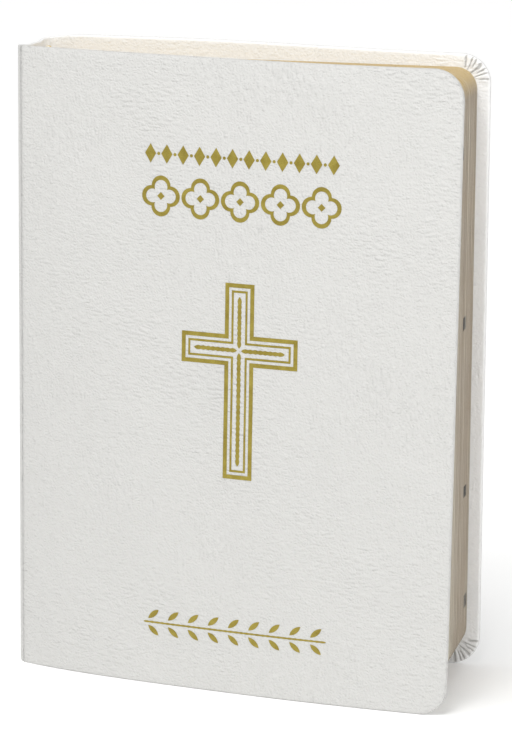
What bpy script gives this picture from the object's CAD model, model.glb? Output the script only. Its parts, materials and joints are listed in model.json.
import json
import math

import bmesh
import bpy
import numpy as np
from mathutils import Matrix, Vector, noise


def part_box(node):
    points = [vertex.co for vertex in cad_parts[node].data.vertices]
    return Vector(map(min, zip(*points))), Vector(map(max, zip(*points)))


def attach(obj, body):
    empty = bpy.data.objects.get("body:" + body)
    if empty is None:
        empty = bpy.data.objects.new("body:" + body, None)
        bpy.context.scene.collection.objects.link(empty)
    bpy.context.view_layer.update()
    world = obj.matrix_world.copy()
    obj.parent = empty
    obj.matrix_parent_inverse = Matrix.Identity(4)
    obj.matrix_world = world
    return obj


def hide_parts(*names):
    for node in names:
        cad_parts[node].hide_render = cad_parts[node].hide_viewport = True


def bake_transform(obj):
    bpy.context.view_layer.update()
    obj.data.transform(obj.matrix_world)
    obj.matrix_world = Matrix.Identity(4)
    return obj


# A limp-bound bible in white bonded leather, standing on its tail with its front cover a little open.
# Metres throughout. u runs from a cover's hinge to its fore edge along the leather, z from tail to head,
# and depth from a cover's outer face towards the pages.

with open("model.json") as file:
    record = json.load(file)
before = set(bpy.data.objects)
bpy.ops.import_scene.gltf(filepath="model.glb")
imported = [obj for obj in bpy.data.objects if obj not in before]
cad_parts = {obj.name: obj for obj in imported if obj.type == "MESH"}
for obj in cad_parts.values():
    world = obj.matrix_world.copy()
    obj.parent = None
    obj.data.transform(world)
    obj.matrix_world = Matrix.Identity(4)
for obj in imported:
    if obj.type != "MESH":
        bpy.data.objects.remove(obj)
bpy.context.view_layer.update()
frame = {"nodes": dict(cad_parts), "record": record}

MM = 0.001
FRONT, BACK = -1, 1

# ---- sizes, from the frame ----

JOINTS = {j["name"]: j for j in frame["record"]["behaviour"]["joints"]}
FOLLOWS = {c["joint"]: c["ratio"] for c in frame["record"]["behaviour"]["couplings"]}
HINGE = {FRONT: JOINTS["front_hinge"]["pos_m"], BACK: JOINTS["back_hinge"]["pos_m"]}
CLOSING = math.radians(-JOINTS["front_hinge"]["range_deg"][0])
MID_Y = (HINGE[FRONT][1] + HINGE[BACK][1]) / 2
COVER_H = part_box("spine_leather")[1][2]
FIXED_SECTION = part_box("section_12")
FOLD_X, FORE_X = FIXED_SECTION[0][0], FIXED_SECTION[1][0]
BLOCK_Z0, BLOCK_Z1 = FIXED_SECTION[0][2], FIXED_SECTION[1][2]
SECTION_T = FIXED_SECTION[1][1] - FIXED_SECTION[0][1]
BLOCK_CORNER_R = 8 * MM
SQUARE = BLOCK_Z0  # overhang of the covers past the pages

# ---- sizes of the case ----

COVER_L = {FRONT: 169.7 * MM, BACK: 167.2 * MM}  # along the leather, from hinge to fore edge
COVER_CORNER_R = 11 * MM
LEATHER_T = 0.9 * MM
CASE_T = 2.2 * MM  # leather, board and turn-in together
JOINT_CASE_T = 1.3 * MM  # leather and turn-in, without the board
PAPER_T = 0.16 * MM  # an endpaper
LEAF_T = 0.14 * MM  # the title leaf and the last leaf
TURN_IN_T = 0.4 * MM
TURN_IN_W = 14 * MM
SPINE_TURN_IN = 12 * MM
FIT = 0.03 * MM
BOARD_U = (6 * MM, 9 * MM)  # where the case thickens from joint to board
SHOULDER_R = 5.5 * MM
HINGE_PHI = math.radians(70)  # where a shoulder's arc meets its cover
SEAM_PHI = math.radians(50)  # where the spine's skin meets a cover's skin
SEAM_U = -SHOULDER_R * (HINGE_PHI - SEAM_PHI)
BEND_END_U = 6.5 * MM  # the leather past here moves with its cover
SPINE_BULGE = 0.5 * MM

# ---- the shape of the limp covers, in degrees from the closed position ----

FRONT_BODY = 10  # the whole cover stands open
FRONT_SPRING = (15, 5)  # more near the hinge, at tail and head
SPRING_FADE = 25 * MM
FRONT_FLATTEN = (5, 9)  # less towards the fore edge, at tail and head
FLATTEN_U, FLATTEN_W = 78 * MM, 84 * MM
BACK_LIFT = 1.2  # at the fore edge, outward at the tail, inward at the head
LIFT_U, LIFT_W = 120 * MM, 50 * MM
BACK_SAG = 2.0 * MM  # how far the back cover's head drops at its fore edge
BACK_SPINE_SAG = 1.3 * MM  # and at the spine
SPINE_SAG = 1.9 * MM  # how far the spine's own head drops
SAG_FROM = 0.72  # the share of the height where a head's sag starts
LAYER_STEP = 7.3  # keeps the noise of different seeds apart


def smooth(t):
    """0 before 0, 1 after 1, and a smooth step between."""
    t = np.clip(t, 0, 1)
    return t * t * (3 - 2 * t)


def head_share(s):
    """How much of a head's sag applies at s, which is 0 at the tail and 1 at the head."""
    return smooth((s - SAG_FROM) / (1 - SAG_FROM))


def waves(u, z, length, seed, across=1.0, turn=0.0):
    """Smooth noise from -1 to 1 over arrays of places; length is its size, across shrinks it one way."""
    c, s = math.cos(turn), math.sin(turn)
    along = (u * c + z * s) / length
    over = (-u * s + z * c) / (length * across)
    layer = seed * LAYER_STEP
    flat = [noise.noise(Vector((a, b, layer))) for a, b in zip(along.ravel(), over.ravel())]
    return np.array(flat).reshape(np.shape(u))


# ---- surfaces ----

class Surface:
    """An upright surface from a hinge to the fore edge. angle(u, s) is how far it turns outward from +X
    at u along it, where s is 0 at the tail and 1 at the head; sag(u) is how far its head edge drops."""

    def __init__(self, start, side, angle, sag=None):
        self.side = side
        self.sag = sag or np.zeros_like
        self.u = np.linspace(-4 * MM, 180 * MM, 737)  # every quarter of a millimetre
        self.s = np.linspace(0, 1, 9)
        step = self.u[1] - self.u[0]
        self.angle = angle(*np.meshgrid(self.u, self.s, indexing="ij"))
        x = np.cumsum(np.cos(self.angle), axis=0) * step
        y = np.cumsum(np.sin(self.angle), axis=0) * step * side
        zero = int(round(-self.u[0] / step))
        self.x = x - x[zero] + start[0]
        self.y = y - y[zero] + start[1]

    def _look_up(self, table, u, s):
        i = np.clip((u - self.u[0]) / (self.u[1] - self.u[0]), 0, len(self.u) - 1.001)
        j = np.clip(s * (len(self.s) - 1), 0, len(self.s) - 1.001)
        i0, j0 = i.astype(int), j.astype(int)
        a, b = i - i0, j - j0
        low = table[i0, j0] * (1 - a) + table[i0 + 1, j0] * a
        high = table[i0, j0 + 1] * (1 - a) + table[i0 + 1, j0 + 1] * a
        return low * (1 - b) + high * b

    def place(self, u, z, depth=0.0):
        """Points in the row frame, as an array with a last axis of 3."""
        u, z = np.broadcast_arrays(np.asarray(u, float), np.asarray(z, float))
        s = z / COVER_H
        angle = self._look_up(self.angle, u, s)
        x = self._look_up(self.x, u, s) + depth * np.sin(angle)
        y = self._look_up(self.y, u, s) - depth * np.cos(angle) * self.side
        return np.stack([x, y, z - self.sag(u) * head_share(s)], axis=-1)


def shoulder_angle(u):
    """How the leather turns off the spine's rounded shoulder, near the hinge."""
    return math.pi / 2 - HINGE_PHI - u / SHOULDER_R


def front_angle(u, s):
    """The limp front cover stands open, springs away from the spine and flattens to its fore edge. It is
    twisted: its tail stands further open than its head."""
    def tail_to_head(pair):
        return np.radians(pair[0] * (1 - s) + pair[1] * s)

    spring = tail_to_head(FRONT_SPRING) * np.exp(-u / SPRING_FADE)
    flatten = tail_to_head(FRONT_FLATTEN) * smooth((u - FLATTEN_U) / FLATTEN_W)
    turned = spring + math.radians(FRONT_BODY) - flatten
    share = smooth(u / (4 * MM) + 0.5)  # eases out of the shoulder
    return np.where(u < 0, shoulder_angle(u), turned * share + shoulder_angle(0) * (1 - share))


def back_angle(u, s):
    """The back cover lies against the pages, with a slight twist at its fore edge."""
    turn = np.maximum(shoulder_angle(u), 0)
    return turn + math.radians(BACK_LIFT) * smooth((u - LIFT_U) / LIFT_W) * (1 - 2 * s)


def back_sag(u):
    """The back cover's head edge drops a little towards its fore edge, and at the spine."""
    at_fore_edge = smooth((u - 45 * MM) / (115 * MM))
    at_spine = 1 - smooth((u + 2 * MM) / (14 * MM))
    return BACK_SAG * at_fore_edge + BACK_SPINE_SAG * at_spine


SURFACE = {
    FRONT: Surface(HINGE[FRONT], FRONT, front_angle),
    BACK: Surface(HINGE[BACK], BACK, back_angle, back_sag),
}


def relief(side, u, z):
    """Swells and creases of the limp leather's outer face, outward. They fade out at the edges."""
    narrow, fade = 0.17, 9 * MM
    swell = waves(u, z, 46 * MM, 1.7 + side) * 0.22 * MM + waves(u, z, 21 * MM, 4.1 + side) * 0.09 * MM
    steep = waves(u, z, 26 * MM, 2.3 + side, across=narrow, turn=math.radians(62)) * 0.144 * MM
    level = waves(u, z, 24 * MM, 5.9 + side, across=narrow, turn=math.radians(-12)) * 0.08 * MM
    low_left = smooth(0.9 - (z / COVER_H + u / COVER_L[side]))
    creases = steep * low_left + level * (1 - low_left)
    edge = smooth((u + 2 * MM) / (8 * MM)) * smooth((COVER_L[side] - u) / fade)
    edge = edge * smooth(z / fade) * smooth((COVER_H - z) / fade)
    return (swell + creases) * edge


# ---- meshes ----

def add_attribute(mesh, name, values):
    mesh.attributes.new(name, "FLOAT", "POINT").data.foreach_set("value", np.asarray(values, np.float32))


def make_mesh(name, points, faces, materials, face_material=None, grain=None, smooth_faces=True,
              crease=None):
    """A piece. grain gives each point its place on the flat material, and crease how deep it lies in a
    valley of the leather, from 0 to 1, or how far round to the inside it is, from 0 to -1."""
    mesh = bpy.data.meshes.new(name)
    mesh.from_pydata([tuple(p) for p in points], [], faces)
    mesh.update()
    for m in materials:
        mesh.materials.append(m)
    if face_material is not None:
        mesh.polygons.foreach_set("material_index", face_material)
    mesh.polygons.foreach_set("use_smooth", [smooth_faces] * len(faces))
    if grain is not None:
        layer = mesh.attributes.new("grain", "FLOAT_VECTOR", "POINT")
        layer.data.foreach_set("vector", np.asarray(grain, np.float32).ravel())
    if crease is not None:
        add_attribute(mesh, "crease", crease)
    piece = bpy.data.objects.new(name, mesh)
    bpy.context.scene.collection.objects.link(piece)
    return piece


def panel_grid(u0, u1, z0, z1, r, columns, corner, rows, power=1.0):
    """A panel with two rounded corners at u1, as grids of u and z whose last columns follow the corners.
    A power above 1 crowds the columns towards u0."""
    angle = np.linspace(0, math.pi / 2, corner + 1)[1:]
    along = np.linspace(0, 1, columns + 1) ** power
    u = np.concatenate([u0 + (u1 - r - u0) * along, u1 - r + r * np.sin(angle)])
    margin = np.concatenate([np.zeros(columns + 1), r * (1 - np.cos(angle))])
    v = np.linspace(0, 1, rows + 1)
    z = (z0 + margin)[:, None] + v[None, :] * (z1 - z0 - 2 * margin)[:, None]
    return np.repeat(u[:, None], rows + 1, 1), z


def rim(grid):
    """A grid's edge from the hinge along the tail, up the fore edge and back along the head."""
    return np.concatenate([grid[:, 0], grid[-1, 1:], grid[-2::-1, -1]])


def grid_faces(columns, rows, start=0, flip=False):
    """Faces of a grid of columns by rows points, numbered from start."""
    faces = []
    for i in range(columns - 1):
        for j in range(rows - 1):
            a = start + i * rows + j
            face = (a, a + rows, a + rows + 1, a + 1)
            faces.append(face[::-1] if flip else face)
    return faces


def bridge(first, second, flip=False, closed=False):
    """Faces between two rows of point numbers."""
    pairs = list(zip(first, first[1:], second, second[1:]))
    if closed:
        pairs.append((first[-1], first[0], second[-1], second[0]))
    faces = [(a, b, d, c) for a, b, c, d in pairs]
    return [f[::-1] for f in faces] if flip else faces


def plate(name, surface, u0, u1, z0, z1, r, near, far, materials, columns=60, corner=10, rows=70,
          edge_material=None, power=1.0):
    """A sheet on a surface between two depths. near and far are depths, or functions of u."""
    u, z = panel_grid(u0, u1, z0, z1, r, columns, corner, rows, power)
    depth = [d(u) if callable(d) else np.full_like(u, d) for d in (near, far)]
    layers = [surface.place(u, z, d).reshape(-1, 3) for d in depth]
    c, w = u.shape
    number = np.arange(c * w).reshape(c, w)
    outline = list(rim(number)) + list(number[0, -2:0:-1])
    flip = surface.side == BACK
    faces = grid_faces(c, w, 0, flip) + grid_faces(c, w, c * w, not flip)
    sides = bridge(outline, [n + c * w for n in outline], not flip, closed=True)
    which = [0] * len(faces) + [0 if edge_material is None else edge_material] * len(sides)
    grain = np.stack([u, z, np.zeros_like(u)], -1).reshape(-1, 3)
    return make_mesh(name, np.concatenate(layers), faces + sides, materials, which,
                     np.concatenate([grain, grain]))


# ---- leather skins ----

ROLL = [math.radians(a) for a in range(18, 181, 18)]
PLEATS = 8
PLEAT_REACH = 3.8 * MM  # how far the pleats run in from the edge
CREASE_FROM = 0.12  # a pleat's valley this deep is shaded
SPINE_SINK = 4 * MM  # where the spine's turn-in starts behind its roll


def case_t(u):
    """How thick the case is at u: leather and turn-in at the joint, with the board past it."""
    return JOINT_CASE_T + (CASE_T - JOINT_CASE_T) * smooth((u - BOARD_U[0]) / (BOARD_U[1] - BOARD_U[0]))


def pleats(side, u, z, inset):
    """How far the leather gathered round the two corners stands proud of the inner face, and how deep
    in a valley between two pleats each point lies."""
    length = COVER_L[side]
    du = np.maximum(u - (length - COVER_CORNER_R), 0)
    dz = np.maximum(COVER_CORNER_R - np.minimum(z, COVER_H - z), 0)
    angle = np.arctan2(du, np.maximum(dz, 1e-9)) / (math.pi / 2)
    where = smooth(np.minimum(angle, 1 - angle) / 0.1) * (du + dz > 0)
    uneven = angle + 0.02 * np.sin(angle * 17 + side) + 0.006 * np.sin(angle * 41 + (z > COVER_H / 2))
    uneven = uneven + 0.01 * np.sin(inset / MM * 0.9 + 5 * angle)
    fold = np.abs(np.sin(uneven * PLEATS * math.pi)) ** 0.8
    past = inset - PLEAT_REACH + 1.2 * MM * np.sin(angle * 23)
    share = where * smooth(inset / (0.8 * MM)) * (1 - smooth(past / (2.2 * MM)))
    return (fold * 0.75 - 0.3) * MM * share, 0.5 * (1 - fold) ** 1.5 * share


def cover_skin(side, name, leather):
    """The leather of a cover: outer face, rolled edge, turn-in with pleated corners, and lining face."""
    surface, length = SURFACE[side], COVER_L[side]
    columns, corner, rows = 104, 56, 150
    least_corner_r, least_inset = 3 * MM, 1e-9

    def grid(inset):
        r = max(COVER_CORNER_R - inset, least_corner_r)
        return panel_grid(SEAM_U, length - inset, inset, COVER_H - inset, r, columns, corner, rows)

    u, z = grid(CASE_T / 2)
    layers = [surface.place(u, z, -relief(side, u, z)).reshape(-1, 3)]
    grains = [np.stack([u, z, np.zeros_like(u)], -1).reshape(-1, 3)]
    creases = [np.zeros(u.size)]
    c, w = u.shape
    number = np.arange(c * w).reshape(c, w)
    flip = side == BACK
    faces = grid_faces(c, w, 0, flip)
    last = list(rim(number))
    starts, ends = [last[0]], [last[-1]]
    count = c * w
    rings = [("roll", a) for a in ROLL]
    rings += [("flat", i * MM) for i in (1.7, 2.4, 3.1, 3.8, 4.5, 5.3, 6.2, 7.5, 10, 13.6)]
    # A rolled edge has the radius of half the case, which is thinner at the joint.
    flat_u, flat_z = (rim(g) for g in grid(0))
    ring_r = case_t(flat_u) / 2
    for kind, value in rings:
        if kind == "roll":
            inset = ring_r * (1 - math.sin(value))
            depth = ring_r * (1 - math.cos(value))
        else:
            inset = np.full_like(ring_r, value)
            depth = ring_r * 2
        deepest = max(float(inset.max()), least_inset)
        deep_u, deep_z = (rim(g) for g in grid(deepest))
        share = inset / deepest
        ru, rz = flat_u + (deep_u - flat_u) * share, flat_z + (deep_z - flat_z) * share
        gather, valley = pleats(side, ru, rz, inset)
        if kind == "roll":  # the pleats start as the edge turns in
            gather = gather * min(1, max(0, (value - 1.4) / 1.2))
        layers.append(surface.place(ru, rz, depth + gather))
        grains.append(np.stack([ru, rz + 2 * depth, depth], -1))
        creases.append(np.where(valley > CREASE_FROM, valley, -smooth((depth / ring_r - 0.9) / 0.9)))
        ring = list(range(count, count + len(ru)))
        faces += bridge(last, ring, not flip)
        starts.append(ring[0])
        ends.append(ring[-1])
        last = ring
        count += len(ru)
    u, z = grid(TURN_IN_W)
    under = np.where(u < BOARD_U[0], LEATHER_T, case_t(u) - TURN_IN_T)
    layers.append(surface.place(u, z, under).reshape(-1, 3))
    elsewhere = 0.3  # keeps the inside's grain apart from the outside's
    grains.append(np.stack([u + elsewhere, z, np.zeros_like(u)], -1).reshape(-1, 3))
    creases.append(np.full(u.size, -1.0))
    inner = count + np.arange(c * w).reshape(c, w)
    faces += grid_faces(c, w, count, not flip)
    faces += bridge(last, list(rim(inner)), not flip)
    # Close the strip that meets the spine's skin.
    faces += bridge(list(number[0, :]), list(inner[0, :]), flip)
    tail_end, head_end = starts + [inner[0, 0]], ends + [inner[0, -1]]
    faces += [tuple(tail_end) if flip else tuple(tail_end[::-1])]
    faces += [tuple(head_end[::-1]) if flip else tuple(head_end)]
    return make_mesh(name, np.concatenate(layers), [tuple(int(n) for n in f) for f in faces], [leather],
                     grain=np.concatenate(grains), crease=np.concatenate(creases))


def spine_profile():
    """The outer outline of the spine from the front seam to the back seam, in X and Y, with its normals."""
    cx = HINGE[FRONT][0] + SHOULDER_R * math.cos(HINGE_PHI)
    half = (HINGE[BACK][1] - HINGE[FRONT][1]) / 2 - SHOULDER_R * math.sin(HINGE_PHI)
    points = []
    for phi in np.linspace(SEAM_PHI, 0, 9):
        points.append((cx - SHOULDER_R * math.cos(phi), -half - SHOULDER_R * math.sin(phi)))
    for t in np.linspace(-1, 1, 19)[1:-1]:
        points.append((cx - SHOULDER_R - SPINE_BULGE * (1 - t * t), half * t))
    for phi in np.linspace(0, SEAM_PHI, 9):
        points.append((cx - SHOULDER_R * math.cos(phi), half + SHOULDER_R * math.sin(phi)))
    points = np.array(points)
    along = np.gradient(points, axis=0)
    normals = np.stack([-along[:, 1], along[:, 0]], 1)
    normals /= np.linalg.norm(normals, axis=1)[:, None]
    normals[0] = (-math.cos(SEAM_PHI), -math.sin(SEAM_PHI))
    normals[-1] = (-math.cos(SEAM_PHI), math.sin(SEAM_PHI))
    points[:, 1] += MID_Y
    return points, normals


def spine_skin(name, leather):
    """The spine's leather, with its head and tail turned in, and its head a little sunk."""
    points, normals = spine_profile()
    r = JOINT_CASE_T / 2
    rows = np.linspace(CASE_T / 2, COVER_H - CASE_T / 2, 151)
    loop = [(z, 0.0) for z in rows]
    roll = [(math.sin(a), 1 - math.cos(a)) for a in ROLL]
    loop += [(COVER_H - r + r * up, r * deep) for up, deep in roll]
    inside = [(COVER_H - SPINE_TURN_IN, JOINT_CASE_T), (COVER_H - SPINE_TURN_IN - 0.4 * MM, LEATHER_T)]
    loop += [(COVER_H - SPINE_SINK, JOINT_CASE_T)] + inside
    loop += [(z, LEATHER_T) for z in np.linspace(COVER_H - 20 * MM, 20 * MM, 40)]
    loop += [(COVER_H - z, d) for z, d in reversed(inside)] + [(SPINE_SINK, JOINT_CASE_T)]
    loop += [(r - r * up, r * deep) for up, deep in reversed(roll)]
    loop = np.array(loop)
    n, m = len(points), len(loop)
    across = np.concatenate([[0], np.cumsum(np.linalg.norm(np.diff(points, axis=0), axis=1))])
    share = across / across[-1]
    middle = smooth(share / 0.55) * (1 - smooth((share - 0.7) / 0.3))
    sag = SPINE_SAG * middle + back_sag(np.full(1, SEAM_U))[0] * smooth((share - 0.6) / 0.4)
    verts, grain, crease = [], [], []
    for k in range(n):
        z, d = loop[:, 0], loop[:, 1]
        xy = points[k][None, :] - normals[k][None, :] * d[:, None]
        verts.append(np.column_stack([xy, z - sag[k] * head_share(z / COVER_H)]))
        grain.append(np.column_stack([np.full(m, SEAM_U - across[-1] + across[k]), z + 2 * d, d]))
        crease.append(-np.clip(d / LEATHER_T, 0, 1))
    faces = []
    for k in range(n - 1):
        row = list(range(k * m, (k + 1) * m))
        faces += bridge(row, [v + m for v in row], True, closed=True)
    faces.append(tuple(range(m))[::-1])
    faces.append(tuple(range((n - 1) * m, n * m)))
    return make_mesh(name, np.concatenate(verts), faces, [leather], grain=np.concatenate(grain),
                     crease=np.concatenate(crease))


# ---- pages ----

def section_mesh(name, side, x0, y0, angle, materials, seed):
    """A folded section. y0 is its outer face at the fold; it turns by angle about (x0, y0). Its leaves
    are not quite level at the edges, as the gilder leaves them."""
    groups, uneven, drift_size = 12, 0.022, 0.025
    rng = np.random.default_rng(seed)
    fold_r = SECTION_T / 2
    width = FORE_X - FOLD_X
    r = BLOCK_CORNER_R
    arc = np.linspace(0, math.pi / 2, 9)
    rises = np.linspace(BLOCK_Z0 + r, BLOCK_Z1 - r, 28)[1:-1]
    runs = np.concatenate([np.arange(1, 10, dtype=float) * MM, np.linspace(11 * MM, width - r, 11)[:-1]])
    verts = []
    wander = rng.normal(0, drift_size, (3, 4))
    waves_per_metre = (40, 71, 113, 19)
    for k in range(groups):
        out = rng.normal(0, uneven) * MM
        for t in (k / groups, (k + 1) / groups):
            y = t * SECTION_T
            fold = fold_r - math.sqrt(max(fold_r**2 - (y - fold_r) ** 2, 0))
            outline = [(fold, BLOCK_Z0)] + [(x, BLOCK_Z0 - out) for x in runs]
            outline += [(width - r + (r + out) * math.sin(a), BLOCK_Z0 + r - (r + out) * math.cos(a))
                        for a in arc]
            for z in rises:
                drift = sum(size * math.sin(z * f + start)
                            for size, f, start in zip(wander[0], waves_per_metre, wander[1] * 90))
                outline.append((width + out + drift * MM, z))
            outline += [(width - r + (r + out) * math.cos(a), BLOCK_Z1 - r + (r + out) * math.sin(a))
                        for a in arc]
            outline += [(x, BLOCK_Z1 + out) for x in reversed(runs)] + [(fold, BLOCK_Z1)]
            verts += [(x, -side * y, z) for x, z in outline]
    m = len(outline)
    faces = []
    for level in range(2 * groups - 1):
        row = list(range(level * m, (level + 1) * m))
        faces += bridge(row, [v + m for v in row], side == FRONT, closed=True)
    which = [1] * len(faces)
    # The two outer leaves are strips from tail to head, so that they bend evenly near the fold.
    for start, flip in ((0, side == BACK), ((2 * groups - 1) * m, side == FRONT)):
        strips = [(start + i, start + i + 1, start + m - 2 - i, start + m - 1 - i) for i in range(len(runs))]
        strips.append(tuple(range(start + len(runs), start + m - len(runs))))
        faces += [face[::-1] if flip else face for face in strips]
        which += [0] * len(strips)
    turn = side * angle
    c, s = math.cos(turn), math.sin(turn)
    points = [(x0 + x * c - y * s, y0 + x * s + y * c, z) for x, y, z in verts]
    return make_mesh(name, points, faces, materials, which, grain=verts, smooth_faces=False)


def turn_pages(piece, body):
    """Lets a leaf or section bend near its fold as it turns, so that it clears the leather's own bend."""
    if body == "spine":
        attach(piece, body)
        return
    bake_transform(piece)


# Printed index marks on the fore edge: the first of four sections, the middle's height, and the size.
INDEX_MARKS = [(2, 0.2, 4.6 * MM), (10, 0.1358, 4.8 * MM), (16, 0.0703, 4.3 * MM), (20, 0.0267, 4.9 * MM)]


def build_sections(materials):
    bodies = frame["record"]["behaviour"]["bodies"]
    for n in range(1, 25):
        node = f"section_{n:02d}"
        side = FRONT if n <= 12 else BACK
        body = next(b for b, nodes in bodies.items() if node in nodes)
        joint = f"{node}_turn"
        if joint in JOINTS:
            x0, y0, _ = JOINTS[joint]["pos_m"]
            angle = CLOSING * FOLLOWS[joint] if side == FRONT else 0.0
        else:
            lo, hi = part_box(node)
            x0, y0, angle = lo[0], (lo[1] if side == FRONT else hi[1]), 0.0
        piece = section_mesh(f"pages_{n:02d}", side, x0, y0, angle, materials, seed=n)
        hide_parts(node)
        turn_pages(piece, body)
        for first, z, height in INDEX_MARKS:
            if first <= n < first + 4:
                points = len(piece.data.vertices)
                add_attribute(piece.data, "mark_z", [z] * points)
                add_attribute(piece.data, "mark_h", [height] * points)


def leaf(name, node, body, joint, side, bow, t, materials):
    """A free leaf: it bows a little as limp paper does."""
    x0, y0, _ = JOINTS[joint]["pos_m"]
    rest = CLOSING * FOLLOWS[joint] if side == FRONT else 0.0
    width = FORE_X - FOLD_X

    def angle(u, s):
        return rest + bow * (1 - 2 * u / width) + 0 * s

    piece = plate(name, Surface((x0, y0), side, angle), 0, width, BLOCK_Z0, BLOCK_Z1, BLOCK_CORNER_R,
                  0.0, t, materials, edge_material=1, power=1.6)
    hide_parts(node)
    turn_pages(piece, body)


# ---- foil stampings ----

FOIL_T = 0.05 * MM
FOIL_PROUD, FOIL_SUNK = 0.02 * MM, 0.03 * MM  # above and below the leather's face
# The rest of the stampings' sizes, and their outlines, are in millimetres.
CROSS_H, CROSS_W, BAR_W = 72.5, 45.5, 11.4
CROSS_U, CROSS_ARM_Z, CROSS_FOOT_Z = 88.0, 129.0, 81.2
CROSS_LINES = (0, 1.55, 2.6, 3.4)  # insets of the edges of its outer and inner lines
CROSS_BARS_INSET, CROSS_BAR_GAP, CROSS_BAR_W = 4.8, 0.75, 0.85
BAND_U, BAND_W = 87.5, 77.5
LOZENGE_Z, ROSETTE_Z, LEAF_Z = 199.0, 183.5, 23.6
LOZENGES, LOZENGE_HALF_W, LOZENGE_HALF_H, DOT_R = 12, 2.2, 3.55, 0.6
ROSETTE_H, ROSETTE_HEART_R = 15.0, 1.45
STEM_L, STEM_W, LEAF_PAIRS = BAND_W * 0.94, 0.4, 9
LEAF_L, LEAF_W, LEAF_RISE, LEAF_TURN = 5.6, 2.0, 3.1, math.radians(40)
FOIL_EDGE = 1.4  # longer edges are split, so that foil follows the leather
SAME_POINT = 1e-4


def ring_points(x, y, r, n):
    return [(x + r * math.cos(2 * math.pi * k / n), y + r * math.sin(2 * math.pi * k / n))
            for k in range(n)]


def cross_outline(inset):
    """The cross, drawn in from its edge by inset."""
    w, arm = BAR_W / 2 - inset, CROSS_W / 2 - inset
    top, foot = CROSS_FOOT_Z + CROSS_H - inset, CROSS_FOOT_Z + inset
    right = [(w, foot), (w, CROSS_ARM_Z - w), (arm, CROSS_ARM_Z - w), (arm, CROSS_ARM_Z + w),
             (w, CROSS_ARM_Z + w), (w, top)]
    left = [(-x, z) for x, z in reversed(right)]
    return [(CROSS_U + x, z) for x, z in right + left]


def bar(x0, z0, x1, z1, w):
    """A straight bar with pointed ends and nicked sides."""
    length = abs(x1 - x0) + abs(z1 - z0)
    nicks = 2 * int(length / 2.1)
    side = [(w + (length - 2 * w) * k / nicks, w if k % 2 else 0.72 * w) for k in range(nicks + 1)]
    path = [(0, 0)] + side + [(length, 0)] + [(a, -b) for a, b in reversed(side)]
    if x0 == x1:
        return [(x0 + b, z0 + a) for a, b in path]
    return [(x0 + a, z0 + b) for a, b in path]


def quatrefoil(x, z, lobe, r, n=14):
    """The outline of four lobes, centred lobe away from the middle."""
    meet = math.acos(max(-1, min(1, lobe / (math.sqrt(2) * r)))) if r > lobe / math.sqrt(2) else 0
    open_half = math.pi - math.pi / 4 - meet
    points = []
    for quarter in range(4):
        a = quarter * math.pi / 2
        cx, cz = x + lobe * math.cos(a), z + lobe * math.sin(a)
        for k in range(n + 1):
            b = a - open_half + 2 * open_half * k / n
            points.append((cx + r * math.cos(b), cz + r * math.sin(b)))
    return points


def leaf_outline(x, z, length, width, turn, n=8):
    """A leaf bounded by two arcs, about its middle."""
    r = (length**2 + width**2) / (4 * width)
    half = math.asin(length / 2 / r)
    points = []
    for sign in (1, -1):
        for k in range(n):
            a = -half + 2 * half * k / n
            px, pz = r * math.sin(a) * sign, (r * math.cos(a) - (r - width / 2)) * sign
            points.append((x + px * math.cos(turn) - pz * math.sin(turn),
                           z + px * math.sin(turn) + pz * math.cos(turn)))
    return points


def foil(name, node, outlines, gold):
    """Stamped foil that follows the leather. Outlines inside others are holes, by even-odd fill."""
    curve = bpy.data.curves.new(name, "CURVE")
    curve.dimensions = "2D"
    curve.fill_mode = "BOTH"
    for outline in outlines:
        spline = curve.splines.new("POLY")
        spline.points.add(len(outline) - 1)
        for p, (x, z) in zip(spline.points, outline):
            p.co = (x, z, 0, 1)
        spline.use_cyclic_u = True
    flat = bpy.data.objects.new(name + "_flat", curve)
    bpy.context.scene.collection.objects.link(flat)
    bpy.context.view_layer.update()
    source = flat.evaluated_get(bpy.context.evaluated_depsgraph_get()).to_mesh()
    bm = bmesh.new()
    bm.from_mesh(source)
    bpy.data.objects.remove(flat)
    bmesh.ops.remove_doubles(bm, verts=bm.verts, dist=SAME_POINT)
    for _ in range(7):
        long_edges = [e for e in bm.edges if e.calc_length() > FOIL_EDGE]
        if not long_edges:
            break
        bmesh.ops.subdivide_edges(bm, edges=long_edges, cuts=1)
        bmesh.ops.triangulate(bm, faces=bm.faces)
    bmesh.ops.recalc_face_normals(bm, faces=bm.faces)
    places = np.array([v.co[:2] for v in bm.verts]) * MM
    faces = [[v.index for v in f.verts] for f in bm.faces]
    bm.verts.index_update()
    border = [[v.index for v in e.verts] for e in bm.edges if len(e.link_faces) == 1]
    if bm.faces and sum(f.normal.z for f in bm.faces) < 0:
        faces = [f[::-1] for f in faces]
    bm.free()
    u, z = places[:, 0], places[:, 1]
    lift = relief(FRONT, u, z)
    top = SURFACE[FRONT].place(u, z, -lift - FOIL_PROUD - FOIL_T)
    low = SURFACE[FRONT].place(u, z, -lift + FOIL_SUNK)
    n = len(u)
    solid = faces + [[v + n for v in f[::-1]] for f in faces]
    solid += [(a, b, b + n, a + n) for a, b in border]
    grain = np.stack([u, z, np.zeros_like(u)], -1)
    piece = make_mesh(name, np.concatenate([top, low]), solid, [gold], grain=np.concatenate([grain, grain]),
                      smooth_faces=False)
    fix = bmesh.new()
    fix.from_mesh(piece.data)
    bmesh.ops.recalc_face_normals(fix, faces=fix.faces)
    fix.to_mesh(piece.data)
    fix.free()
    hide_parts(node)
    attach(piece, "front_cover")


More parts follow.
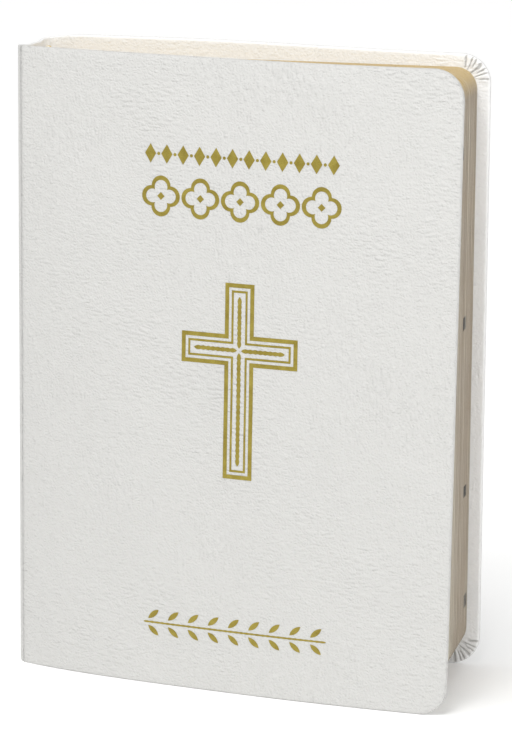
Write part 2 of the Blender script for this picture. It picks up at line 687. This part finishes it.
def build_foils(gold):
    x, z, gap, w = CROSS_U, CROSS_ARM_Z, CROSS_BAR_GAP, CROSS_BAR_W
    half = CROSS_W / 2 - CROSS_BARS_INSET
    foot, top = CROSS_FOOT_Z + CROSS_BARS_INSET, CROSS_FOOT_Z + CROSS_H - CROSS_BARS_INSET
    outlines = [cross_outline(i) for i in CROSS_LINES]
    outlines += [bar(x, foot, x, z - gap, w), bar(x, z + gap, x, top, w),
                 bar(x - half, z, x - gap, z, w), bar(x + gap, z, x + half, z, w)]
    foil("stamped_cross", "cross_foil", outlines, gold)

    outlines = []
    lobe = ROSETTE_H / 4
    for i in range(-2, 3):
        x = BAND_U + i * (BAND_W - ROSETTE_H) / 4
        outlines += [quatrefoil(x, ROSETTE_Z, lobe, lobe), quatrefoil(x, ROSETTE_Z, lobe - 0.4, lobe - 1.2)]
        outlines.append(ring_points(x, ROSETTE_Z, ROSETTE_HEART_R, 4))
    foil("stamped_rosettes", "rosette_foil", outlines, gold)

    outlines = []
    w, h, z, step = LOZENGE_HALF_W, LOZENGE_HALF_H, LOZENGE_Z, BAND_W / LOZENGES
    for i in range(LOZENGES):
        x = BAND_U + (i + 0.5 - LOZENGES / 2) * step
        outlines.append([(x - w, z), (x, z - h), (x + w, z), (x, z + h)])
        if i:
            outlines.append(ring_points(x - step / 2, z, DOT_R, 14))
    foil("stamped_lozenges", "lozenge_foil", outlines, gold)

    outlines = [bar(BAND_U - STEM_L / 2, LEAF_Z, BAND_U + STEM_L / 2, LEAF_Z, STEM_W)]
    for i in range(LEAF_PAIRS):
        x = BAND_U + (i + 0.5 - LEAF_PAIRS / 2) * STEM_L / LEAF_PAIRS
        for flip in (1, -1):
            outlines.append(leaf_outline(x, LEAF_Z + LEAF_RISE * flip, LEAF_L, LEAF_W, LEAF_TURN * flip))
    foil("stamped_leaves", "leaf_stem_foil", outlines, gold)


# ---- head and tail bands ----

def end_band(name, node, materials):
    """A cloth bead sewn over a core, ribbed by its turns, with the skirt glued to the folds."""
    lo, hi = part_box(node)
    at_head = node == "head_band"
    r, between_turns = 1.15 * MM, 0.86
    x = lo[0] + r
    z = hi[2] - r if at_head else lo[2] + r
    turns, around, strips = 84, 16, 24
    verts, faces = [], []
    for k in range(2 * turns + 1):
        y = lo[1] + (hi[1] - lo[1]) * k / (2 * turns)
        rr = r * (1.0 if k % 2 else between_turns)
        verts += [(x + rr * math.cos(a), y, z + rr * math.sin(a))
                  for a in (2 * math.pi * i / around for i in range(around))]
    for k in range(2 * turns):
        row = list(range(k * around, (k + 1) * around))
        faces += bridge(row, [v + around for v in row], True, closed=True)
    faces.append(tuple(range(around)))
    faces.append(tuple(range(len(verts) - around, len(verts)))[::-1])
    n = len(verts)
    back, t = hi[0] - 1.35 * MM, 0.3 * MM  # the skirt's face on the folds, and its thickness
    z0, z1 = (lo[2], z) if at_head else (z, hi[2])
    for k in range(strips + 1):
        y = lo[1] + (hi[1] - lo[1]) * k / strips
        verts += [(back, y, z0), (back + t, y, z0), (back + t, y, z1), (back, y, z1)]
    for k in range(strips):
        row = list(range(n + 4 * k, n + 4 * k + 4))
        faces += bridge(row, [v + 4 for v in row], True, closed=True)
    faces += [tuple(range(n, n + 4)), tuple(range(n + 4 * strips, n + 4 * strips + 4))[::-1]]
    piece = make_mesh(name, verts, faces, materials, grain=verts, smooth_faces=False)
    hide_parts(node)
    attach(piece, "spine")


# ---- materials ----

class Nodes:
    """A short way to build a material's nodes."""

    def __init__(self, name):
        self.material = bpy.data.materials.new(name)
        self.material.use_nodes = True
        self.tree = self.material.node_tree
        self.shader = self.tree.nodes["Principled BSDF"]

    def add(self, kind, inputs=(), **settings):
        node = self.tree.nodes.new(kind)
        for key, value in settings.items():
            setattr(node, key, value)
        for key, value in dict(inputs).items():
            if isinstance(value, bpy.types.NodeSocket):
                self.tree.links.new(value, node.inputs[key])
            else:
                node.inputs[key].default_value = value
        return node

    def math(self, operation, a, b=0.0, c=0.0):
        return self.add("ShaderNodeMath", {0: a, 1: b, 2: c}, operation=operation).outputs[0]

    def colour(self, amount, low, high):
        """From low to high, each a tuple or a socket."""
        low, high = ((*c, 1) if isinstance(c, tuple) else c for c in (low, high))
        return self.add("ShaderNodeMix", {0: amount, 6: low, 7: high}, data_type="RGBA").outputs[2]

    def range(self, value, a, b, c, d):
        """value, moved from a to b onto c to d."""
        return self.add("ShaderNodeMapRange", {0: value, 1: a, 2: b, 3: c, 4: d}).outputs[0]

    def scaled(self, vector, scale):
        return self.add("ShaderNodeVectorMath", {0: vector, "Scale": scale}, operation="SCALE").outputs[0]

    def attribute(self, name, output="Fac"):
        return self.add("ShaderNodeAttribute", attribute_name=name).outputs[output]

    def millimetres(self):
        """Where a point lies on its piece, in millimetres, whatever the pose."""
        return self.scaled(self.attribute("grain", "Vector"), 1 / MM)

    def object_millimetres(self):
        return self.scaled(self.add("ShaderNodeTexCoord").outputs["Object"], 1 / MM)

    def stretched(self, vector, scale, turn=0.0):
        return self.add("ShaderNodeMapping", {0: vector, 2: (0, 0, turn), 3: scale}).outputs[0]

    def noise(self, vector, scale, detail=3.0, rough=0.55):
        node = self.add("ShaderNodeTexNoise",
                        {"Vector": vector, "Scale": scale, "Detail": detail, "Roughness": rough})
        return node.outputs["Fac"]

    def cells(self, vector, scale, width):
        """Rounded cells with narrow valleys between them, 0 in a valley and 1 on a cell."""
        node = self.add("ShaderNodeTexVoronoi", {"Vector": vector, "Scale": scale, "Randomness": 1.0},
                        feature="DISTANCE_TO_EDGE")
        return self.add("ShaderNodeMapRange", {0: node.outputs["Distance"], 2: width},
                        interpolation_type="SMOOTHSTEP").outputs[0]

    def bump(self, height, distance, strength=1.0):
        node = self.add("ShaderNodeBump", {"Height": height, "Distance": distance, "Strength": strength})
        self.tree.links.new(node.outputs[0], self.shader.inputs["Normal"])

    def set(self, **values):
        names = {"colour": "Base Color", "rough": "Roughness", "metal": "Metallic",
                 "specular": "Specular IOR Level", "sheen": "Sheen Weight", "glow": "Emission Strength"}
        for key, value in values.items():
            socket = self.shader.inputs[names[key]]
            if isinstance(value, bpy.types.NodeSocket):
                self.tree.links.new(value, socket)
            else:
                socket.default_value = (*value, 1) if isinstance(value, tuple) else value
        return self.material


def leather_material():
    """White bonded leather: a fine pebble grain, with soft creases that run differently over the skin."""
    n = Nodes("white_leather")
    mm = n.millimetres()
    bent = n.add("ShaderNodeTexNoise", {"Vector": mm, "Scale": 0.14, "Detail": 2.0}).outputs["Color"]
    warped = n.add("ShaderNodeVectorMath", {0: mm, 1: n.scaled(bent, 1.3)}, operation="ADD").outputs[0]
    pebble = n.cells(warped, 0.80, 0.5)
    # Long cells, level over part of the skin and steep over the rest.
    level = n.cells(n.stretched(warped, (0.20, 0.52, 1.0), math.radians(14)), 1.0, 0.45)
    steep = n.cells(n.stretched(warped, (0.52, 0.20, 1.0), math.radians(32)), 1.0, 0.45)
    region = n.range(n.noise(mm, 0.014, 1.0), 0.36, 0.64, 0.0, 1.0)
    creases = n.add("ShaderNodeMix", {0: region, 2: level, 3: steep}, data_type="FLOAT").outputs[0]
    patch = n.range(n.noise(mm, 0.04, 2.0), 0.35, 0.65, 0.55, 1.0)
    fine = n.noise(warped, 2.8, 3.0, 0.6)
    height = n.math("MULTIPLY_ADD", pebble, 0.34, n.math("MULTIPLY", fine, 0.40))
    height = n.math("MULTIPLY_ADD", n.math("MULTIPLY", creases, patch), 0.62, height)
    # The inside of the turned-in edge is smoother and paler, and the valleys between pleats are darker.
    valley = n.attribute("crease")
    inner = n.range(valley, 0.0, -1.0, 0.0, 1.0)
    n.bump(n.math("MULTIPLY", height, n.range(inner, 0.0, 1.0, 1.0, 0.45)), 0.52 * MM, 1.0)
    stain = n.noise(mm, 0.03, 2.0)
    outer = n.colour(stain, (0.603, 0.599, 0.581), (0.628, 0.624, 0.606))
    white = n.colour(inner, outer, (0.87, 0.87, 0.865))
    creased = n.colour(n.range(valley, 0.0, 1.0, 0.0, 0.6), white, (0.30, 0.29, 0.30))
    rough = n.range(n.math("ADD", fine, n.math("MULTIPLY", stain, 0.5)), 0.3, 1.2, 0.60, 0.44)
    return n.set(colour=creased, rough=rough, specular=0.45)


def gold_material():
    """Stamped foil: an old gold, a little uneven."""
    n = Nodes("gold_foil")
    mm = n.millimetres()
    speck = n.noise(mm, 2.2, 4.0, 0.7)
    wide = n.noise(mm, 0.25, 2.0)
    tone = n.math("MULTIPLY_ADD", speck, 0.6, n.math("MULTIPLY", wide, 0.5))
    n.bump(speck, 0.12 * MM, 0.8)
    gold = n.colour(n.range(tone, 0.35, 0.75, 0, 1), (0.22, 0.165, 0.022), (0.42, 0.345, 0.07))
    return n.set(colour=gold, metal=0.65, rough=n.range(speck, 0.3, 0.7, 0.34, 0.52))


def paper_material(name, low, high):
    """Paper with fine fibres, between two tones."""
    n = Nodes(name)
    mm = n.millimetres()
    fibre = n.noise(n.stretched(mm, (1.0, 0.35, 1.0)), 1.6, 5.0, 0.65)
    cloud = n.noise(mm, 0.09, 2.0)
    n.bump(fibre, 0.03 * MM, 0.5)
    tone = n.math("MULTIPLY_ADD", fibre, 0.5, n.math("MULTIPLY", cloud, 0.5))
    return n.set(colour=n.colour(tone, low, high), rough=0.78, specular=0.25)


def gilt_material():
    """The gilded edge of a section: fine leaf lines, burnished but worn, with printed index marks."""
    n = Nodes("gilt_edge")
    mm = n.millimetres()
    lines = n.noise(n.stretched(mm, (0.02, 18.0, 0.004)), 1.0, 3.0, 0.7)
    grain = n.noise(n.stretched(mm, (0.1, 6.0, 0.05)), 1.0, 3.0, 0.6)
    wear = n.noise(mm, 0.12, 3.0)
    worn_share = n.math("MULTIPLY_ADD", grain, 0.3, n.math("MULTIPLY", wear, 0.3))
    tone = n.range(n.math("MULTIPLY_ADD", lines, 0.5, worn_share), 0.3, 0.8, 0, 1)
    worn = n.colour(tone, (0.33, 0.275, 0.21), (0.44, 0.37, 0.285))
    fresh = n.colour(tone, (0.50, 0.38, 0.19), (0.70, 0.56, 0.31))
    # The fore edge is worn, and the head is still bright.
    z = n.add("ShaderNodeSeparateXYZ", {0: n.object_millimetres()}).outputs[2]
    gilt = n.colour(n.range(z, BLOCK_Z1 / MM - 9, BLOCK_Z1 / MM - 2, 0.0, 1.0), worn, fresh)
    away = n.math("ABSOLUTE", n.math("SUBTRACT", z, n.math("MULTIPLY", n.attribute("mark_z"), 1 / MM)))
    ink = n.math("LESS_THAN", away, n.math("MULTIPLY", n.attribute("mark_h"), 0.5 / MM))
    marked = n.colour(ink, gilt, (0.018, 0.015, 0.012))
    n.bump(lines, 0.05 * MM, 0.6)
    metal = n.range(ink, 0.0, 1.0, 0.35, 0.0)
    return n.set(colour=marked, metal=metal, rough=n.range(wear, 0.3, 0.7, 0.34, 0.5))


def cloth_material(name, low, high, pitch, turn=0.0):
    """Plain weave with threads pitch millimetres apart."""
    n = Nodes(name)
    place = n.stretched(n.object_millimetres(), (1, 1, 1), turn)
    axes = n.add("ShaderNodeSeparateXYZ", {0: place}).outputs
    warp = n.math("ABSOLUTE", n.math("SINE", n.math("MULTIPLY", axes[1], math.pi / pitch)))
    weft = n.math("ABSOLUTE", n.math("SINE", n.math("MULTIPLY", axes[2], math.pi / pitch)))
    height = n.math("MAXIMUM", warp, weft)
    fuzz = n.noise(place, 3.0, 3.0)
    n.bump(height, 0.1 * MM, 0.8)
    tone = n.math("MULTIPLY_ADD", fuzz, 0.4, n.math("MULTIPLY", height, 0.6))
    return n.set(colour=n.colour(tone, low, high), rough=0.85, sheen=0.15)


def band_material():
    """Silk turns of the head band, cream with a gold thread among them."""
    n = Nodes("band_silk")
    stripe_pitch = 3.3
    y = n.add("ShaderNodeSeparateXYZ", {0: n.object_millimetres()}).outputs[1]
    stripe = n.math("GREATER_THAN", n.math("SINE", n.math("MULTIPLY", y, 2 * math.pi / stripe_pitch)), 0.1)
    fuzz = n.noise(n.object_millimetres(), 4.0, 3.0)
    cream = n.colour(fuzz, (0.70, 0.66, 0.55), (0.82, 0.79, 0.70))
    n.bump(fuzz, 0.06 * MM, 0.6)
    return n.set(colour=n.colour(stripe, cream, (0.62, 0.47, 0.2)), rough=0.5, sheen=0.2)


def board_material(name, low, high):
    """Board or stiff paper with coarse fibres, between two tones."""
    n = Nodes(name)
    mm = n.object_millimetres()
    fibre = n.noise(n.stretched(mm, (0.6, 1.0, 0.25)), 1.2, 5.0, 0.7)
    n.bump(fibre, 0.08 * MM, 0.6)
    return n.set(colour=n.colour(fibre, low, high), rough=0.9, specular=0.2)


# ---- putting it together ----

def paint(node, material):
    """Gives a CAD node a material."""
    piece = frame["nodes"][node]
    if not piece.material_slots:
        piece.data.materials.append(material)
    for s in piece.material_slots:
        s.link = "OBJECT"
        s.material = material


def paste_depth(u):
    """How deep the pasted endpaper lies in its cover: it dips into the joint near the hinge."""
    return CASE_T + 0.05 * MM - 0.35 * MM * (1 - smooth((u - 0.5 * MM) / (5 * MM)))


def build_case():
    """The case, the bands and the hidden pieces of the spine. Returns the endpapers' material."""
    leather = leather_material()
    board = board_material("grey_board", (0.45, 0.38, 0.27), (0.60, 0.52, 0.39))
    filler = paper_material("filler_paper", (0.72, 0.69, 0.62), (0.80, 0.78, 0.72))
    mull = cloth_material("mull", (0.55, 0.52, 0.42), (0.80, 0.78, 0.70), 1.1)
    endpaper = paper_material("endpaper", (0.76, 0.72, 0.62), (0.84, 0.81, 0.73))
    spine = spine_skin("spine_skin", leather)
    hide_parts("spine_leather")
    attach(spine, "spine")
    for side, end in ((FRONT, "front"), (BACK, "back")):
        body, surface, length = f"{end}_cover", SURFACE[side], COVER_L[side]
        skin = cover_skin(side, f"{end}_skin", leather)
        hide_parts(f"{end}_leather")
        seam = surface.place(np.array([SEAM_U]), np.array([COVER_H / 2]))[0]
        stop = surface.place(np.array([BEND_END_U]), np.array([COVER_H / 2]))[0]
        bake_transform(skin)
        inner = CASE_T - TURN_IN_T  # the depth of the board's inner face
        near_hinge = BOARD_U[1]
        # Name, its slot, from and to along the cover, inset at head and tail, depths, corners, material.
        layers = [
            ("board", "board", near_hinge, length - 1.2 * MM, 1.2 * MM, LEATHER_T + FIT, inner - FIT,
             9 * MM, board),
            ("infill", "endpaper", 33 * MM, length - TURN_IN_W - 0.4 * MM, TURN_IN_W + 0.4 * MM,
             inner + FIT, CASE_T, 3 * MM, filler),
            ("mull_flap", "mull_cloth", near_hinge, near_hinge + 23 * MM, TURN_IN_W + 1 * MM,
             inner + FIT, inner + 0.2 * MM, 1 * MM, mull),
        ]
        for part, slot, u0, u1, inset, near, far, r, material in layers:
            piece = plate(f"{end}_{part}_layer", surface, u0, u1, inset, COVER_H - inset, r, near, far,
                          [material], columns=40, corner=6, rows=50)
            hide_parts(f"{end}_{part}")
            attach(piece, body)
        paste = plate(f"{end}_pasted_endpaper", surface, 0.6 * MM, length - SQUARE, SQUARE, COVER_H - SQUARE,
                      10 * MM, paste_depth, lambda u: paste_depth(u) + PAPER_T, [endpaper],
                      columns=90, power=1.5)
        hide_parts(f"{end}_pastedown")
        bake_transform(paste)
    paint("spine_stiffener", board)
    paint("spine_lining", board_material("kraft_lining", (0.42, 0.32, 0.2), (0.58, 0.47, 0.32)))
    paint("spine_mull", mull)
    paint("sewing_thread", cloth_material("linen_thread", (0.62, 0.6, 0.52), (0.8, 0.78, 0.7), 0.3))
    band = band_material()
    end_band("head_band_silk", "head_band", [band])
    end_band("tail_band_silk", "tail_band", [band])
    return endpaper


def build_pages(endpaper):
    page = paper_material("bible_paper", (0.74, 0.70, 0.60), (0.80, 0.765, 0.67))
    gilt = gilt_material()
    leaf("front_free_endpaper", "front_flyleaf", "front_endpaper", "front_endpaper_turn", FRONT,
         math.radians(3.0), PAPER_T, [endpaper, gilt])
    leaf("title_page_leaf", "title_leaf", "first_leaf", "title_leaf_turn", FRONT,
         math.radians(1.4), LEAF_T, [page, gilt])
    leaf("back_free_endpaper", "back_flyleaf", "back_endpaper", "back_endpaper_turn", BACK,
         0.0, PAPER_T, [endpaper, gilt])
    leaf("last_page_leaf", "last_leaf", "end_leaf", "last_leaf_turn", BACK,
         0.0, LEAF_T, [page, gilt])
    build_sections([page, gilt])


# ---- stage ----

def build_floor():
    n = Nodes("studio_floor")
    n.set(colour=(0.95, 0.95, 0.945), rough=0.9, specular=0.1, glow=0.13)
    mesh = bpy.data.meshes.new("floor")
    half = 6.0
    corners = [(-half, -half, 0), (half, -half, 0), (half, half, 0), (-half, half, 0)]
    mesh.from_pydata(corners, [], [(0, 1, 2, 3)])
    mesh.materials.append(n.material)
    floor = bpy.data.objects.new("floor", mesh)
    bpy.context.scene.collection.objects.link(floor)


WORLD_LIGHT = 0.62
KEY_PLACE, KEY_SIZE, KEY_POWER = (0.02, -0.46, 0.74), 0.3, 1.9
FILL_PLACE, FILL_SIZE, FILL_POWER = (1.0, -0.5, 0.35), 0.6, 1.8
SUN_AHEAD, SUN_POWER, SUN_ANGLE = (0.30, 0.36, -0.88), 1.08, 50


def add_lamp(name, data, ahead, place=(0, 0, 0)):
    lamp = bpy.data.objects.new(name, data)
    lamp.location = place
    lamp.rotation_euler = ahead.to_track_quat("-Z", "Y").to_euler()
    bpy.context.scene.collection.objects.link(lamp)


def area_light(name, place, target, size, power):
    data = bpy.data.lights.new(name, "AREA")
    data.shape = "DISK"
    data.size = size
    data.energy = power
    add_lamp(name, data, Vector(target) - Vector(place), place)


def build_world():
    """An even pale light, seen as white past the floor's edge."""
    world = bpy.data.worlds.new("studio")
    world.use_nodes = True
    tree = world.node_tree
    backdrop = tree.nodes["Background"]
    path = tree.nodes.new("ShaderNodeLightPath")
    strength = tree.nodes.new("ShaderNodeMath")
    strength.operation = "MULTIPLY_ADD"
    strength.inputs[1].default_value = 1 - WORLD_LIGHT
    strength.inputs[2].default_value = WORLD_LIGHT
    backdrop.inputs[0].default_value = (1, 1, 1, 1)
    tree.links.new(path.outputs["Is Camera Ray"], strength.inputs[0])
    tree.links.new(strength.outputs[0], backdrop.inputs[1])
    bpy.context.scene.world = world
    bpy.context.scene.view_settings.view_transform = "Standard"


def build_light():
    area_light("key", KEY_PLACE, (0, 0, 0.8 * COVER_H), KEY_SIZE, KEY_POWER)
    area_light("fill", FILL_PLACE, (0, 0, COVER_H / 2), FILL_SIZE, FILL_POWER)
    sun = bpy.data.lights.new("overhead", "SUN")
    sun.energy = SUN_POWER
    sun.angle = math.radians(SUN_ANGLE)
    add_lamp("overhead", sun, Vector(SUN_AHEAD))


CAMERA_TURN = (12.32, 11.98, 0.48)  # degrees to the left, down and over
CAMERA_FROM_HINGE = (0.3837, -1.3539)
CAMERA_Z, CAMERA_LENS, CAMERA_SENSOR = 0.4103, 184.7, 36


def build_camera():
    """A long lens that sees the front cover, the fore edge and a little of the head's inner face."""
    yaw, pitch, roll = (math.radians(a) for a in CAMERA_TURN)
    ahead = Vector((-math.sin(yaw) * math.cos(pitch), math.cos(yaw) * math.cos(pitch), -math.sin(pitch)))
    level = Vector((math.cos(yaw), math.sin(yaw), 0))
    upright = level.cross(ahead)
    right = level * math.cos(roll) + upright * math.sin(roll)
    up = -level * math.sin(roll) + upright * math.cos(roll)
    data = bpy.data.cameras.new("camera")
    data.sensor_width = CAMERA_SENSOR
    data.lens = CAMERA_LENS
    camera = bpy.data.objects.new("camera", data)
    camera.matrix_world = Matrix((right, up, -ahead)).transposed().to_4x4()
    x, y, _ = HINGE[FRONT]
    camera.location = (x + CAMERA_FROM_HINGE[0], y + CAMERA_FROM_HINGE[1], CAMERA_Z)
    bpy.context.scene.collection.objects.link(camera)
    bpy.context.scene.camera = camera


build_camera()
build_pages(build_case())
build_foils(gold_material())
build_floor()
build_world()
build_light()
